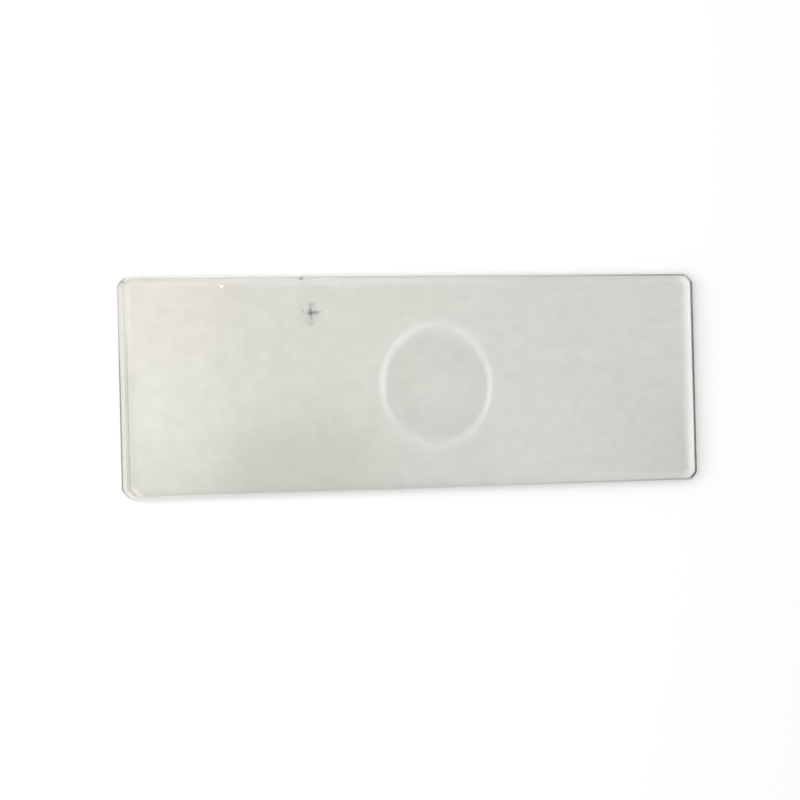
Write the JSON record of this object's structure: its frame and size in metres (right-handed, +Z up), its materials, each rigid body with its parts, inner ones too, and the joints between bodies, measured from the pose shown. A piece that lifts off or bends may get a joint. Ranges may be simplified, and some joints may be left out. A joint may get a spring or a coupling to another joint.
{
  "type": "microscope slide",
  "caption": "Clear glass microscope slide with clipped corners, ground edges and a shallow round well in its upper face.",
  "frame": {"origin": "centre of the underside, where the slide rests", "axes": "+X along the slide's length, towards the end that the well is nearer to; +Y across its width; +Z up, out of the face that has the well"},
  "size_m": [0.0762, 0.0254, 0.0013],
  "materials": {
    "clear_glass": "polished clear soda-lime glass with a faint grey-green cast, ground along its edges and clipped corners"
  },
  "bodies": {
    "root": {"glass_slide": "clear_glass"}
  },
  "joints": []
}
